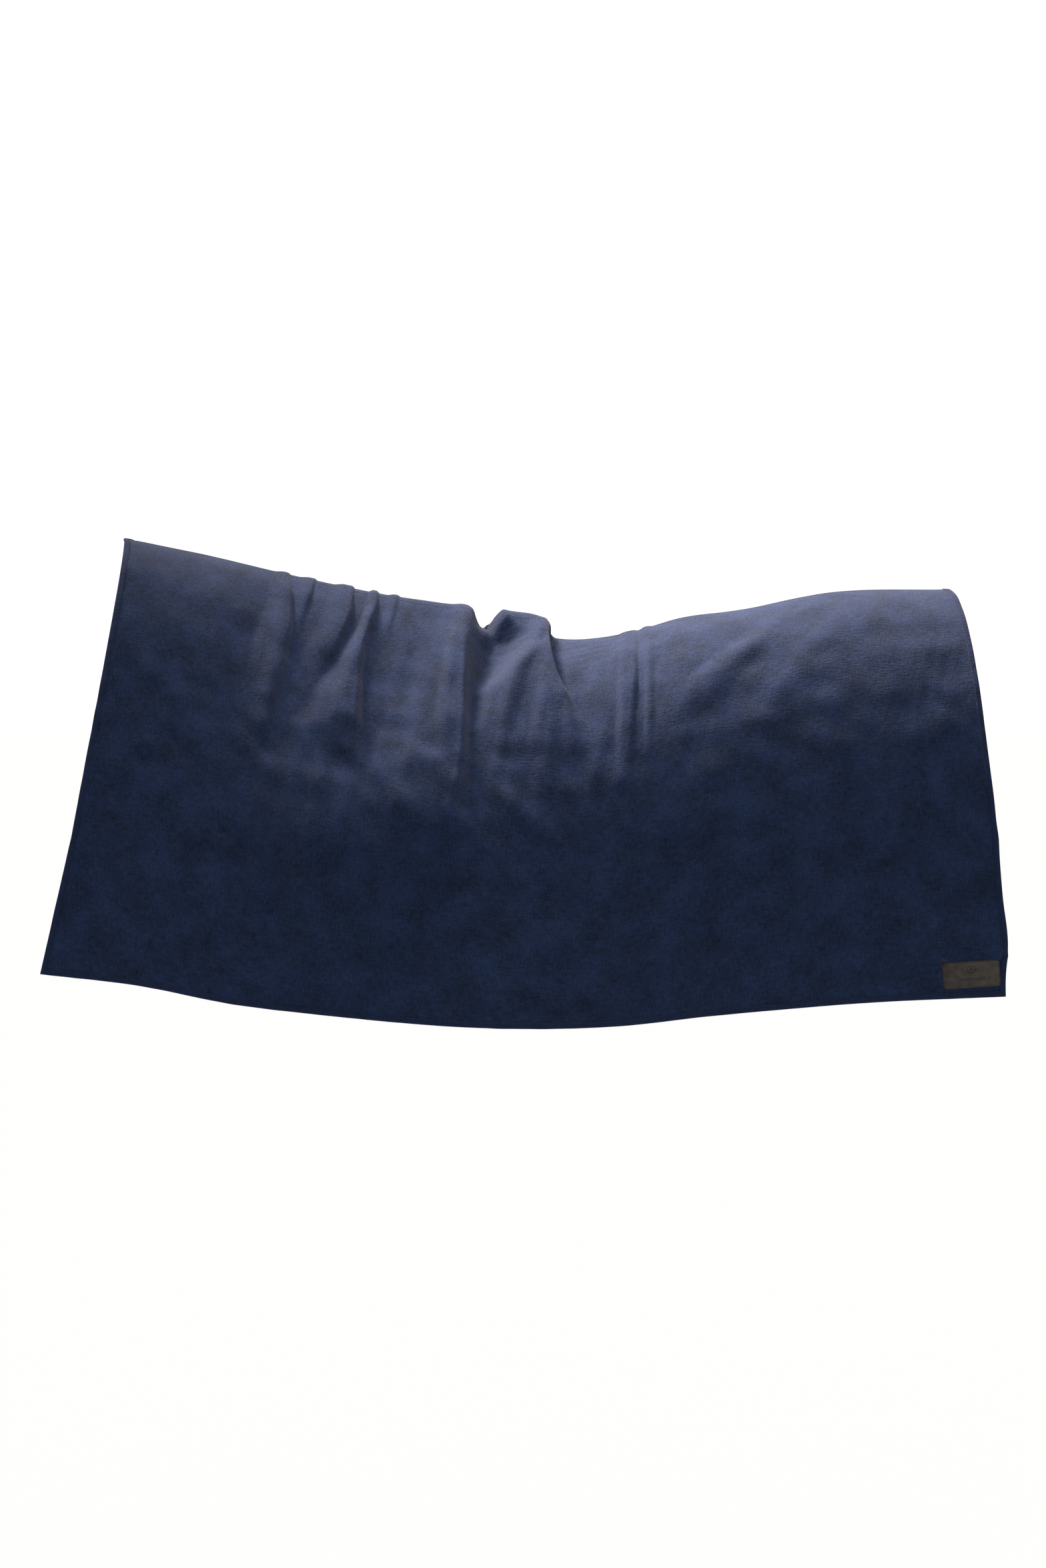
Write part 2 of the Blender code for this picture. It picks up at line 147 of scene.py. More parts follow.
# The folds, from front to rear. Each is a strip that stands out from the drape between a left foot and a
# right foot. Its rows say, at a distance down from the spine: where the left foot is along the rug and how
# wide its slope is, the same for the right foot, the height, and how far the top leans to the rear.
FOLDS = {
    "shoulder swell": (
        (0.22, -0.440, 0.080, -0.160, 0.100, 0.000, 0.000),
        (0.33, -0.460, 0.100, -0.130, 0.120, 0.010, 0.000),
        (0.44, -0.480, 0.120, -0.120, 0.140, 0.026, 0.000),
        (0.53, -0.470, 0.120, -0.130, 0.160, 0.034, 0.000),
        (0.63, -0.450, 0.120, -0.140, 0.160, 0.020, 0.000),
        (0.78, -0.430, 0.120, -0.170, 0.160, 0.000, 0.000),
    ),
    "front hollow": (
        (0.02, -0.520, 0.050, -0.436, 0.012, 0.000, 0.000),
        (0.10, -0.520, 0.060, -0.424, 0.016, -0.006, 0.000),
        (0.20, -0.530, 0.070, -0.440, 0.020, -0.008, 0.000),
        (0.30, -0.540, 0.070, -0.450, 0.020, -0.006, 0.000),
        (0.40, -0.550, 0.080, -0.460, 0.030, 0.000, 0.000),
    ),
    "front pleat": (
        (0.00, -0.440, 0.020, -0.410, 0.008, 0.003, 0.000),
        (0.05, -0.436, 0.018, -0.404, 0.008, 0.006, 0.000),
        (0.10, -0.430, 0.020, -0.396, 0.009, 0.010, 0.000),
        (0.16, -0.440, 0.030, -0.393, 0.012, 0.013, 0.000),
        (0.23, -0.451, 0.034, -0.397, 0.016, 0.014, 0.000),
        (0.30, -0.460, 0.032, -0.408, 0.018, 0.013, 0.000),
        (0.345, -0.464, 0.034, -0.412, 0.020, 0.009, 0.000),
        (0.39, -0.470, 0.040, -0.414, 0.024, 0.000, 0.000),
    ),
    "front tuck": (
        (0.00, -0.395, 0.020, -0.362, 0.006, 0.003, 0.000),
        (0.06, -0.398, 0.020, -0.366, 0.008, 0.005, 0.001),
        (0.13, -0.405, 0.024, -0.372, 0.014, 0.004, 0.000),
        (0.20, -0.410, 0.030, -0.380, 0.020, 0.000, 0.000),
    ),
    "second tuck": (
        (0.00, -0.335, 0.020, -0.296, 0.006, 0.004, 0.000),
        (0.08, -0.346, 0.032, -0.294, 0.010, 0.008, 0.001),
        (0.13, -0.358, 0.036, -0.303, 0.013, 0.009, 0.000),
        (0.18, -0.374, 0.036, -0.316, 0.016, 0.008, 0.000),
        (0.23, -0.390, 0.038, -0.334, 0.020, 0.003, 0.000),
        (0.28, -0.400, 0.040, -0.345, 0.026, 0.000, 0.000),
    ),
    "second pleat": (
        (0.00, -0.272, 0.008, -0.252, 0.008, 0.004, 0.000),
        (0.05, -0.276, 0.012, -0.252, 0.009, 0.008, 0.001),
        (0.10, -0.286, 0.016, -0.261, 0.010, 0.012, 0.001),
        (0.15, -0.306, 0.026, -0.268, 0.012, 0.015, 0.000),
        (0.20, -0.330, 0.040, -0.271, 0.014, 0.018, 0.000),
        (0.26, -0.358, 0.056, -0.270, 0.016, 0.021, 0.000),
        (0.31, -0.380, 0.064, -0.268, 0.020, 0.022, 0.000),
        (0.34, -0.390, 0.066, -0.268, 0.024, 0.014, 0.000),
        (0.38, -0.394, 0.070, -0.264, 0.030, 0.000, 0.000),
    ),
    "third tuck": (
        (0.00, -0.240, 0.014, -0.215, 0.008, 0.003, 0.000),
        (0.06, -0.246, 0.016, -0.220, 0.010, 0.004, 0.000),
        (0.14, -0.256, 0.020, -0.228, 0.016, 0.000, 0.000),
    ),
    "broad band": (
        (0.00, -0.150, 0.060, -0.078, 0.024, 0.004, 0.000),
        (0.08, -0.170, 0.070, -0.078, 0.028, 0.009, 0.000),
        (0.16, -0.200, 0.085, -0.082, 0.022, 0.012, 0.000),
        (0.24, -0.232, 0.100, -0.085, 0.018, 0.014, 0.000),
        (0.32, -0.252, 0.110, -0.086, 0.018, 0.019, 0.000),
        (0.39, -0.266, 0.120, -0.086, 0.026, 0.024, 0.000),
        (0.46, -0.276, 0.130, -0.090, 0.040, 0.020, 0.000),
        (0.56, -0.286, 0.140, -0.098, 0.060, 0.000, 0.000),
    ),
    "crest of the band": (
        (0.00, -0.128, 0.024, -0.080, 0.024, 0.003, 0.000),
        (0.08, -0.136, 0.022, -0.082, 0.026, 0.006, 0.000),
        (0.18, -0.146, 0.024, -0.088, 0.016, 0.007, 0.000),
        (0.28, -0.152, 0.026, -0.090, 0.012, 0.006, 0.000),
        (0.37, -0.154, 0.030, -0.090, 0.020, 0.000, 0.000),
    ),
    "notch": (
        (0.00, -0.092, 0.024, -0.045, 0.013, -0.027, 0.000),
        (0.02, -0.092, 0.024, -0.042, 0.016, -0.020, 0.000),
        (0.05, -0.094, 0.022, -0.038, 0.020, -0.006, 0.000),
        (0.08, -0.096, 0.020, -0.036, 0.024, 0.000, 0.000),
    ),
    "hollow beside the roll": (
        (0.005, -0.056, 0.050, 0.030, 0.030, 0.000, 0.000),
        (0.02, -0.062, 0.045, 0.030, 0.040, -0.008, 0.000),
        (0.05, -0.086, 0.050, 0.034, 0.060, -0.022, 0.000),
        (0.08, -0.098, 0.046, 0.034, 0.074, -0.031, 0.000),
        (0.11, -0.102, 0.044, 0.020, 0.074, -0.032, 0.000),
        (0.15, -0.104, 0.036, -0.004, 0.066, -0.024, 0.000),
        (0.20, -0.104, 0.022, -0.040, 0.050, -0.014, 0.000),
        (0.28, -0.102, 0.014, -0.066, 0.030, -0.006, 0.000),
        (0.35, -0.102, 0.012, -0.070, 0.026, 0.000, 0.000),
    ),
    "roll": (
        (0.00, -0.058, 0.014, 0.058, 0.034, 0.019, 0.004),
        (0.02, -0.056, 0.020, 0.050, 0.018, 0.022, 0.008),
        (0.05, -0.046, 0.060, 0.041, 0.012, 0.025, 0.010),
        (0.10, -0.060, 0.080, 0.046, 0.009, 0.024, 0.008),
        (0.15, -0.080, 0.080, 0.060, 0.009, 0.019, 0.004),
        (0.20, -0.092, 0.080, 0.080, 0.011, 0.014, 0.002),
        (0.26, -0.096, 0.070, 0.104, 0.024, 0.008, 0.000),
        (0.36, -0.100, 0.070, 0.130, 0.050, 0.000, 0.000),
    ),
    "crest of the roll": (
        (0.00, -0.050, 0.060, 0.042, 0.016, 0.011, 0.000),
        (0.04, -0.024, 0.034, 0.036, 0.018, 0.008, 0.000),
        (0.10, -0.032, 0.028, 0.024, 0.024, 0.007, 0.000),
        (0.18, -0.046, 0.028, 0.006, 0.026, 0.007, 0.000),
        (0.26, -0.056, 0.030, -0.006, 0.030, 0.005, 0.000),
        (0.36, -0.066, 0.036, -0.010, 0.036, 0.000, 0.000),
    ),
    "foot of the roll": (
        (0.12, 0.020, 0.020, 0.066, 0.020, 0.000, 0.000),
        (0.20, 0.016, 0.024, 0.072, 0.024, 0.005, 0.000),
        (0.30, 0.006, 0.026, 0.066, 0.026, 0.006, 0.000),
        (0.40, 0.000, 0.030, 0.060, 0.030, 0.000, 0.000),
    ),
    "saddle pleat": (
        (0.00, 0.168, 0.016, 0.204, 0.008, 0.002, 0.000),
        (0.08, 0.164, 0.014, 0.199, 0.006, 0.005, 0.001),
        (0.20, 0.158, 0.014, 0.194, 0.007, 0.007, 0.001),
        (0.31, 0.152, 0.016, 0.188, 0.012, 0.005, 0.000),
        (0.40, 0.146, 0.022, 0.186, 0.020, 0.000, 0.000),
    ),
    "saddle tuck": (
        (0.00, 0.206, 0.010, 0.232, 0.014, 0.003, 0.000),
        (0.10, 0.209, 0.008, 0.228, 0.010, 0.004, 0.000),
        (0.26, 0.203, 0.009, 0.222, 0.010, 0.004, 0.000),
        (0.36, 0.198, 0.014, 0.218, 0.016, 0.000, 0.000),
    ),
    "loin sweep": (
        (0.08, 0.400, 0.070, 0.500, 0.060, 0.000, 0.000),
        (0.15, 0.350, 0.055, 0.450, 0.050, 0.007, 0.000),
        (0.22, 0.270, 0.050, 0.380, 0.050, 0.008, 0.000),
        (0.30, 0.220, 0.050, 0.330, 0.050, 0.000, 0.000),
    ),
    "croup sweep": (
        (0.10, 0.480, 0.070, 0.600, 0.080, 0.000, 0.000),
        (0.18, 0.430, 0.070, 0.560, 0.080, 0.004, 0.000),
        (0.28, 0.370, 0.070, 0.500, 0.080, 0.005, 0.000),
        (0.40, 0.320, 0.070, 0.440, 0.080, 0.000, 0.000),
    ),
}


def smooth(t):
    """0 up to 0 and 1 from 1 on, with a smooth step between."""
    t = np.clip(t, 0, 1)
    return t * t * (3 - 2 * t)


def through(points, at):
    """A smooth curve through (place, value) points, read at the places given: cubic pieces whose slope at
    each point is that of the line between its neighbours."""
    place, value = np.array(points, float).T
    slope = np.gradient(value, place)
    i = np.clip(np.searchsorted(place, at, side="right") - 1, 0, len(place) - 2)
    step = place[i + 1] - place[i]
    t = (at - place[i]) / step
    start = (1 + 2 * t) * (1 - t) ** 2 * value[i] + t * (1 - t) ** 2 * step * slope[i]
    return start + t * t * (3 - 2 * t) * value[i + 1] + t * t * (t - 1) * step * slope[i + 1]


def bell(value, width):
    """1 at 0, and falling off to both sides over about the width given."""
    return np.exp(-((value / width) ** 2))


def unit(vectors):
    """The same directions, 1 long."""
    return vectors / np.maximum(np.linalg.norm(vectors, axis=-1, keepdims=True), 1e-12)


def run_along(path):
    """How far each point of a path is from the first, along the path."""
    return np.concatenate([[0], np.cumsum(np.linalg.norm(np.diff(path, axis=0), axis=-1))])


def read_along(path, run, at):
    """A path's points, or what else is given for each of them, at distances along it."""
    return np.stack([np.interp(at, run, path[:, k]) for k in range(3)], axis=-1)


def linear(code):
    """An sRGB hex colour as linear red, green and blue."""
    value = np.array([int(code[i : i + 2], 16) for i in (1, 3, 5)]) / 255
    return tuple(np.where(value <= 0.04045, value / 12.92, ((value + 0.055) / 1.055) ** 2.4).tolist())


def ripple(x, y, wavelength, seed, count=18):
    """Soft random waves of about one wavelength: a sum of sines whose directions, lengths and phases are
    drawn once from a seeded generator, scaled to lie mostly between -1 and 1."""
    rng = np.random.default_rng(seed)
    turn = rng.uniform(0, math.pi, count)
    length = wavelength * rng.uniform(0.7, 1.6, count)
    phase = rng.uniform(0, 2 * math.pi, count)
    total = 0 * x
    for a, w, p in zip(turn, length, phase):
        total = total + np.sin((x * math.cos(a) + y * math.sin(a)) * (2 * math.pi / w) + p)
    return total / math.sqrt(count)


# ---------------------------------------------------------------------------------------------- the drape


def guide_lines(s, side, share):
    """The spine line, the fold line and the hem, at shares of the cloth's length."""
    along = through(SPINE_SPACING, share)
    x = SPINE_SHIFT + (along - 0.5) * (s.length - s.spine_gather)
    top = np.stack([x, 0 * x, through(TOPLINE, along)], axis=-1)
    x = FOLD_LINE_SHIFT + (share - 0.5) * (s.length - s.fold_line_slack)
    fold = np.stack([x, 0 * x + side * s.half_back, 0 * x - s.fold_drop], axis=-1)
    drop = s.skirt_drop - through(HEM_RISE, share)
    y = side * (s.half_back + drop * math.tan(s.skirt_flare))
    hem = np.stack([(share - 0.5) * (s.length - s.hem_slack), y, -s.fold_drop - drop], axis=-1)
    return top, fold, hem


def plain_drape(s, side, share, down):
    """The drape without folds. From the spine to the fold line, a cubic that leaves the spine level and
    reaches the fold line in the plane of the skirt. From there to the hem, a straight line."""
    top, fold, hem = (line[:, None] for line in guide_lines(s, side, share))
    level = np.array([0, side, 0]) * through(BACK_ROUNDNESS, share)[:, None, None]
    level[..., 0] = through(SPINE_SLANT, share)[:, None]
    fall = unit(hem - fold) * through(FALL_STRENGTH, share)[:, None, None]
    fall[..., 0] = through(FALL_SLANT, share)[:, None] * (fold - top)[..., 0]
    t = np.clip(down, 0, 1)[None, :, None]
    back = (1 + 2 * t) * (1 - t) ** 2 * top + t * (1 - t) ** 2 * level
    back = back + t * t * (3 - 2 * t) * fold + t * t * (t - 1) * fall
    below = np.clip(down - 1, 0, 1)[None, :, None]
    return back + below * (hem - fold)


def surface_normals(grid, side):
    """The cloth's outward normal at each point of a grid."""
    return side * unit(np.cross(np.gradient(grid, axis=0), np.gradient(grid, axis=1)))


def level_at_spine(normal):
    """The normals, with no tilt to either side at the spine, where the two sides meet."""
    normal[:, 0, 1] = 0
    return unit(normal)


def folds(s, side, x, below):
    """How far the cloth stands out, and how far it leans to the rear, at a place along the rug and a
    distance below the spine: for each fold, its height times a smooth slope up from the left foot and a
    smooth slope down to the right foot. That slope is no steeper than 65 degrees but at the near roll's sharp
    edge. The folds of the off side are lower away from the spine."""
    height, lean = 0 * x, 0 * x
    fade = 1 - 0.45 * smooth(below / 0.2) if side == OFF else 1
    for name, rows in FOLDS.items():
        table = np.array(rows).T
        at = np.clip(below, table[0, 0], table[0, -1])
        left, left_width, right, right_width, most, lean_most = (
            np.interp(at, table[0], column) for column in table[1:]
        )
        if side == OFF or name != "roll":
            right_width = np.maximum(right_width, STEEPEST * np.abs(most))
        strip = smooth((x - left) / left_width) * smooth((right - x) / right_width)
        height = height + strip * most * fade
        lean = lean + strip * lean_most * fade
    return s.fold_height * height, s.fold_height * lean


def wrinkles(s, side, share, x, below):
    """How far the cloth stands out besides its folds. Small wrinkles lie all over, and where the cloth is
    gathered they run down it. Soft dents lie where the back turns into the flank, slack waves run along the
    hem, and fine lines lie across the back behind the roll."""
    seed = 11 if side == NEAR else 12
    gathered = smooth((0.28 - x) / 0.16)
    small = gathered * ripple(x * 1.6, below * 0.7, 0.075, seed)
    small = small + (1 - gathered) * ripple(x, below, 0.085, seed + 1)
    small = small + 0.4 * ripple(x, below * 0.7, 0.030, seed + 2)
    turned = smooth((below - 0.24) / 0.12) * smooth((0.66 - below) / 0.16)
    turned = turned * (0.45 + 0.55 * smooth((0.16 - x) / 0.2))
    hanging = smooth((below - 0.40) / 0.35) * smooth((0.86 - share) / 0.2)[:, None]
    lined = smooth((below - 0.03) / 0.03) * smooth((0.15 - below) / 0.05)
    lined = lined * smooth((x - 0.05) / 0.03) * smooth((0.19 - x) / 0.04)
    height = s.wrinkle_height * smooth(below / 0.06) * small
    height = height + s.slack_height * turned * ripple(x, below * 1.1, 0.060, seed + 3)
    height = height + s.hem_wave * hanging * np.sin(5 * math.pi * share)[:, None]
    wave = np.sin(below * 2 * math.pi / s.line_spacing + 3 * ripple(x, below, 0.2, 7))
    return height + s.line_height * lined * wave


def round_the_label(s, grid, height):
    """The cloth lies flat under the label, and stands up a little along its top and its front."""
    centre, along, up, _ = label_frame(s)
    x, y = (grid - centre) @ along, (grid - centre) @ up
    inside = rounded_inset(x, y, s.label_width, s.label_height, s.label_corner)
    puff = bell(inside + 0.006, 0.004) * smooth((y - 0.4 * x + 0.012) / 0.02)
    return height * smooth(-inside / 0.02) + s.label_puff * puff


def drape(s, side, share, down):
    """The middle of the cloth, and each point's place on the flat cloth: along it, and down from the spine.
    The rear edge stands out to the rear above the label."""
    grid = plain_drape(s, side, share, down)
    steps = np.linalg.norm(np.diff(grid, axis=1), axis=-1)
    below = np.concatenate([0 * grid[:, :1, 0], np.cumsum(steps, axis=1)], axis=1)
    x = grid[..., 0]
    height, lean = folds(s, side, x, below)
    flat = np.broadcast_to((share * s.length)[:, None], x.shape)
    height = height + wrinkles(s, side, share, x, below)
    if side == NEAR:
        height = round_the_label(s, grid, height)
    grid = grid + level_at_spine(surface_normals(grid, side)) * height[..., None]
    most_at = 1.67
    rear = bell(down - most_at, np.where(down < most_at, 0.27, 0.17)) * smooth((share - 0.93) / 0.07)[:, None]
    grid[..., 0] += lean + s.rear_kick * rear
    return grid, np.stack([flat, below * side], axis=-1)


def spine_rows(s, side, share, distances):
    """Rows of the draped cloth at set distances from the spine."""
    grid, flat = drape(s, side, share, np.linspace(0, 0.25, 60))
    below = side * flat[..., 1]
    rows = [read_along(points, run, distances) for run, points in zip(below, grid)]
    flat = np.stack(np.broadcast_arrays((share * s.length)[:, None], side * distances[None]), axis=-1)
    return np.array(rows), flat


def spaced(points, count):
    """Places from the first point to the last, crowded where the points' second numbers are small: each
    number is the spacing wanted there."""
    place, spacing = np.array(points, float).T
    fine = np.linspace(place[0], place[-1], 4000)
    density = 1 / np.interp(fine, place, spacing)
    total = np.concatenate([[0], np.cumsum((density[1:] + density[:-1]) / 2)])
    return np.interp(np.linspace(0, total[-1], count), total, fine)


def cloth_places(columns, rows):
    """Shares along and steps down at which the cloth has a point, crowded where it is gathered."""
    front = ((0, 10), (0.13, 7), (0.17, 2), (0.60, 2.2), (0.69, 4), (0.74, 8))
    rear = ((0.92, 8), (0.935, 3), (1, 3))
    back = ((0, 3), (0.7, 3.6), (0.9, 7))
    skirt = ((1.76, 13), (1.84, 4), (2, 4))
    return spaced(front + rear, columns), spaced(back + skirt, rows)


# ---------------------------------------------------------------------------------------------- meshes


def quads(rows, columns, closed=False):
    """The faces of a grid of points, rows by columns, wound from the first row to the next. In a closed
    grid the last column joins the first."""
    i, j = np.meshgrid(np.arange(rows - 1), np.arange(columns - (not closed)), indexing="ij")
    after = (j + 1) % columns
    face = (i * columns + j, i * columns + after, (i + 1) * columns + after, (i + 1) * columns + j)
    return np.stack(face, axis=-1).reshape(-1, 4)


def rim(rows, columns):
    """The points round the rim of a grid, in order."""
    index = np.arange(rows * columns).reshape(rows, columns)
    return np.concatenate([index[:-1, 0], index[-1, :-1], index[:0:-1, -1], index[0, :0:-1]])


def make_piece(name, points, faces, look, uv=None):
    """A mesh object from whole arrays, smooth but for its sharp edges, facing outwards. uv gives each
    point's place on the flat cloth."""
    mesh = bpy.data.meshes.new(name)
    mesh.from_pydata(points.reshape(-1, 3).tolist(), [], faces if isinstance(faces, list) else faces.tolist())
    mesh.validate()
    if volume(points.reshape(-1, 3), mesh) < 0:
        mesh.flip_normals()
    mesh.shade_smooth()
    mesh.set_sharp_from_angle(angle=math.radians(62))
    if uv is not None:
        layer = mesh.uv_layers.new(name="cloth")
        corner = np.empty(len(mesh.loops), int)
        mesh.loops.foreach_get("vertex_index", corner)
        layer.data.foreach_set("uv", uv.reshape(-1, 2)[corner].astype(np.float32).ravel())
    mesh.materials.append(look)
    piece = bpy.data.objects.new(name, mesh)
    bpy.context.scene.collection.objects.link(piece)
    return piece


def volume(points, mesh):
    """Six times the volume inside a closed mesh, negative if its faces point inwards."""
    mesh.calc_loop_triangles()
    corner = np.empty(3 * len(mesh.loop_triangles), int)
    mesh.loop_triangles.foreach_get("vertices", corner)
    a, b, c = points[corner.reshape(-1, 3)].transpose(1, 0, 2)
    return float(np.einsum("ij,ij->", a, np.cross(b, c)))


def slab(grid, normal, low, high, uv):
    """A closed sheet: the grid moved out to high and in to low along its normals, joined round its rim."""
    rows, columns = grid.shape[:2]
    count = rows * columns
    points = np.concatenate([(grid + normal * high).reshape(-1, 3), (grid + normal * low).reshape(-1, 3)])
    edge = rim(rows, columns)
    after = np.roll(edge, -1)
    outer = quads(rows, columns)
    sides = np.stack([edge, after, after + count, edge + count], axis=-1)
    faces = np.concatenate([outer[:, ::-1], outer + count, sides])
    return points, faces, np.concatenate([uv.reshape(-1, 2)] * 2)


def swept(path, outward, normal, section):
    """A closed section carried along a path: at each point of the path, the section's first number runs
    outward and its second along the normal. Both ends are capped."""
    rings = path[:, None] + outward[:, None] * section[None, :, :1] + normal[:, None] * section[None, :, 1:]
    count = len(section)
    walls = quads(len(path), count, closed=True).tolist()
    last = (len(path) - 1) * count
    caps = [list(range(count))[::-1], list(range(last, last + count))]
    return rings, walls + caps


# ---------------------------------------------------------------------------------------------- materials


def add(tree, kind, inputs=None, **settings):
    """A node with its settings, its values and its links."""
    made = tree.nodes.new(kind)
    for name, value in settings.items():
        setattr(made, name, value)
    for name, value in (inputs or {}).items():
        if isinstance(value, bpy.types.NodeSocket):
            tree.links.new(value, made.inputs[name])
        else:
            made.inputs[name].default_value = value
    return made


def noise(tree, place, size, **settings):
    """Clouds of about one size, in metres."""
    return add(tree, "ShaderNodeTexNoise", {"Vector": place, "Scale": 1 / size, **settings}).outputs["Fac"]


def streaks_along(tree, flat, length, width, **settings):
    """Clouds drawn out into streaks of one length along the cloth and one width across it."""
    place = add(tree, "ShaderNodeMapping", {"Vector": flat, "Scale": (1 / length, 1 / width, 1)}).outputs[0]
    return noise(tree, place, 1, **settings)


def to_range(tree, value, old, new):
    """The value, with its old range stretched to the new one."""
    inputs = {"Value": value, "From Min": old[0], "From Max": old[1], "To Min": new[0], "To Max": new[1]}
    return add(tree, "ShaderNodeMapRange", inputs).outputs[0]


def new_material(name):
    """An empty material, its tree, and its shader."""
    look = bpy.data.materials.new(name)
    look.use_nodes = True
    return look, look.node_tree, look.node_tree.nodes["Principled BSDF"]


def cloth_material(name, dark, light, sheen, sheen_colour, streaks=1.0):
    """Brushed woven cloth. Its raised nap is matt and gives a pale bloom at a glancing angle. The weft has
    slubs, which are the fine streaks along the rug, the warp shows through as finer lines down it, and the
    nap stands in small tufts. In soft patches it lies this way or that, and there the cloth and its bloom are
    both paler or darker. The threads are 1 mm apart in the cloth and are drawn 2.5 mm apart, so that they
    show."""
    look, tree, shader = new_material(name)
    flat = add(tree, "ShaderNodeUVMap", uv_map="cloth").outputs["UV"]
    slub = streaks_along(tree, flat, 0.016, 0.0030, Detail=2, Roughness=0.6)
    warp = streaks_along(tree, flat, 0.0025, 0.012, Detail=1)
    patches = noise(tree, flat, 0.060, Detail=6, Roughness=0.7)
    tufts = noise(tree, flat, 0.0050, Detail=4, Roughness=0.7)
    threads = add(tree, "ShaderNodeMath", {0: slub, 1: warp}, operation="ADD").outputs[0]
    weave = add(tree, "ShaderNodeMath", {0: threads, 1: tufts}, operation="ADD").outputs[0]
    spread = to_range(tree, weave, (1.1, 1.9), (-0.42 * streaks, 0.42 * streaks))
    patch = to_range(tree, patches, (0.3, 0.7), (0.15, 0.85))
    shade = add(tree, "ShaderNodeMath", {0: patch, 1: spread}, operation="ADD", use_clamp=True).outputs[0]
    bloom = to_range(tree, shade, (0, 1), (0.86 * sheen, 1.14 * sheen))
    mixed = add(tree, "ShaderNodeMixRGB", {"Fac": shade, "Color1": (*dark, 1), "Color2": (*light, 1)})
    bump = add(tree, "ShaderNodeBump", {"Height": weave, "Strength": 0.5, "Distance": 0.0014})
    tree.links.new(bloom, shader.inputs["Sheen Weight"])
    tree.links.new(mixed.outputs[0], shader.inputs["Base Color"])
    tree.links.new(bump.outputs[0], shader.inputs["Normal"])
    shader.inputs["Roughness"].default_value = 0.95
    shader.inputs["Specular IOR Level"].default_value = 0.1
    shader.inputs["Sheen Roughness"].default_value = 0.6
    shader.inputs["Sheen Tint"].default_value = (*sheen_colour, 1)
    return look


def leather_material(name, dark, worn_and_painted_light):
    """Dyed, embossed leather: a fine pebbled grain, a soft gloss, and a paler colour mixed in where the piece's
    own attribute says. That attribute is part real scuffing of the raised face and part painted light: a
    painted sheen growing towards the rear, a painted highlight along the lower rim and on the mark's edges, and
    painted shade round the rim and in the pressed mark."""
    look, tree, shader = new_material(name)
    place = add(tree, "ShaderNodeTexCoord").outputs["Object"]
    pebbles = add(tree, "ShaderNodeTexVoronoi", {"Vector": place, "Scale": 1 / 0.0013}, feature="SMOOTH_F1")
    grain = pebbles.outputs["Distance"]
    cloud = noise(tree, place, 0.012, Detail=4)
    # The attribute mixes real scuffing with painted sheen, painted highlights and painted shade.
    rubbed_and_painted_light = add(tree, "ShaderNodeAttribute", attribute_name="wear_and_painted_light").outputs["Fac"]
    tone = to_range(tree, cloud, (0.3, 0.7), (0, 0.35))
    factor = add(tree, "ShaderNodeMath", {0: tone, 1: rubbed_and_painted_light}, operation="ADD", use_clamp=True).outputs[0]
    mixed = add(tree, "ShaderNodeMixRGB", {"Fac": factor, "Color1": (*dark, 1), "Color2": (*worn_and_painted_light, 1)})
    rough = to_range(tree, cloud, (0, 1), (0.42, 0.58))
    bump = add(tree, "ShaderNodeBump", {"Height": grain, "Strength": 0.35, "Distance": 0.0003})
    tree.links.new(mixed.outputs[0], shader.inputs["Base Color"])
    tree.links.new(rough, shader.inputs["Roughness"])
    tree.links.new(bump.outputs[0], shader.inputs["Normal"])
    shader.inputs["Specular IOR Level"].default_value = 0.13
    return look


def thread_material(name, colour):
    """Twisted thread: fine ridges round each stitch and a slight gloss."""
    look, tree, shader = new_material(name)
    place = add(tree, "ShaderNodeTexCoord").outputs["Object"]
    ply = noise(tree, place, 0.0008)
    bump = add(tree, "ShaderNodeBump", {"Height": ply, "Strength": 0.4, "Distance": 0.0002})
    shader.inputs["Base Color"].default_value = (*colour, 1)
    shader.inputs["Roughness"].default_value = 0.7
    shader.inputs["Specular IOR Level"].default_value = 0.15
    tree.links.new(bump.outputs[0], shader.inputs["Normal"])
    return look


def webbing_material(name, dark, light):
    """Ribbed nylon webbing: ribs across the strip 5 mm apart, with a slight gloss and bloom. Its colour follows
    the ribs' height: a painted highlight on top of each rib, painted shade between them.
    """
    look, tree, shader = new_material(name)
    flat = add(tree, "ShaderNodeUVMap", uv_map="cloth").outputs["UV"]
    wave = {"Vector": flat, "Scale": 1 / 0.0160, "Distortion": 0.4}
    ribs = add(tree, "ShaderNodeTexWave", wave, bands_direction="X").outputs["Fac"]
    # Painted highlight on the rib tops, painted shade between the ribs.
    mixed = add(tree, "ShaderNodeMixRGB", {"Fac": ribs, "Color1": (*dark, 1), "Color2": (*light, 1)})
    bump = add(tree, "ShaderNodeBump", {"Height": ribs, "Strength": 0.6, "Distance": 0.0006})
    tree.links.new(mixed.outputs[0], shader.inputs["Base Color"])
    tree.links.new(bump.outputs[0], shader.inputs["Normal"])
    shader.inputs["Roughness"].default_value = 0.75
    shader.inputs["Sheen Weight"].default_value = 0.2
    return look


def floor_material(name, colour):
    """Matt white studio paint, a trifle uneven, as rolled on."""
    look, tree, shader = new_material(name)
    place = add(tree, "ShaderNodeTexCoord").outputs["Object"]
    rolled = noise(tree, place, 0.02, Detail=2)
    bump = add(tree, "ShaderNodeBump", {"Height": rolled, "Strength": 0.1, "Distance": 0.0005})
    shader.inputs["Base Color"].default_value = (*colour, 1)
    shader.inputs["Roughness"].default_value = 0.9
    tree.links.new(bump.outputs[0], shader.inputs["Normal"])
    return look


# ---------------------------------------------------------------------------------------------- settings


